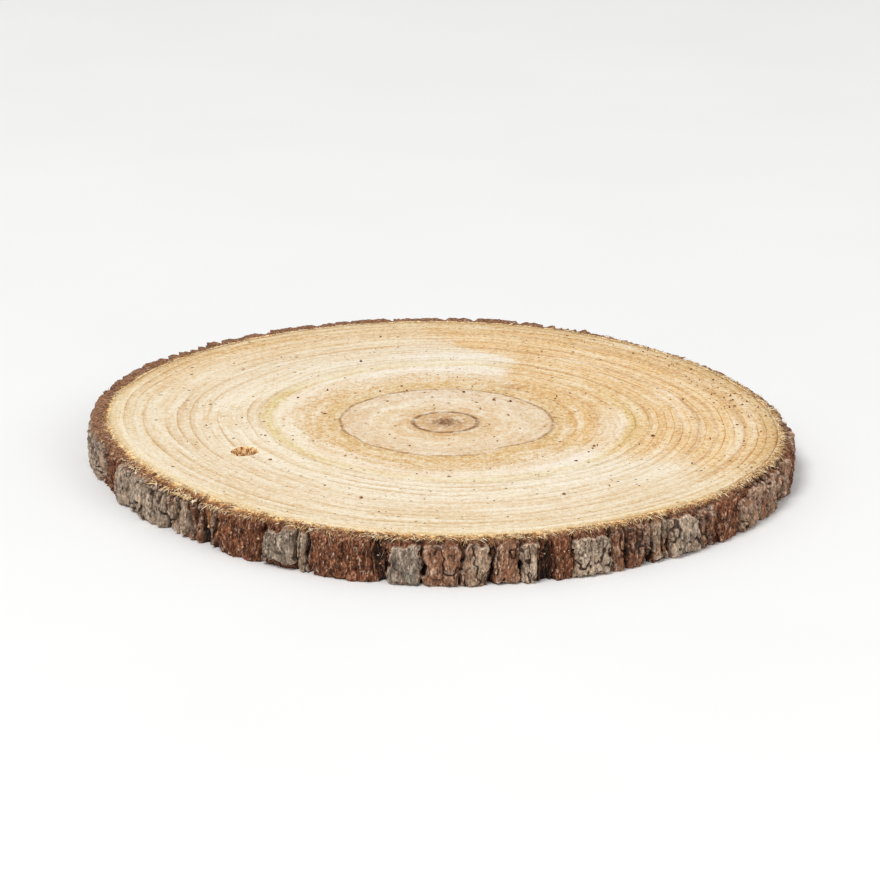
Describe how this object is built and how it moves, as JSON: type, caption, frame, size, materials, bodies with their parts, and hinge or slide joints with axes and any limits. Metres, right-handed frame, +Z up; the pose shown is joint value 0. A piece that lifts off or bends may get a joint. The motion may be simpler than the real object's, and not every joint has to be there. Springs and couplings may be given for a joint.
{
  "type": "wood slice",
  "caption": "Thin round cross-cut of a small trunk: pale wood with growth rings, scaly bark round the edge and a torn pit in the upper face. Lies flat as a coaster, base or craft blank.",
  "frame": {"origin": "middle of the slice's footprint, on the surface that it lies on", "axes": "+Z up through the thickness, from the sawn underside to the sawn upper face; -Y towards the viewer, with the torn pit at the front left of the upper face"},
  "size_m": [0.1372, 0.1386, 0.0088],
  "materials": {
    "sawn_wood": "matte",
    "inner_bark": "matte",
    "bark": "matte"
  },
  "bodies": {
    "root": {"wood_slice": "sawn_wood"}
  },
  "joints": []
}
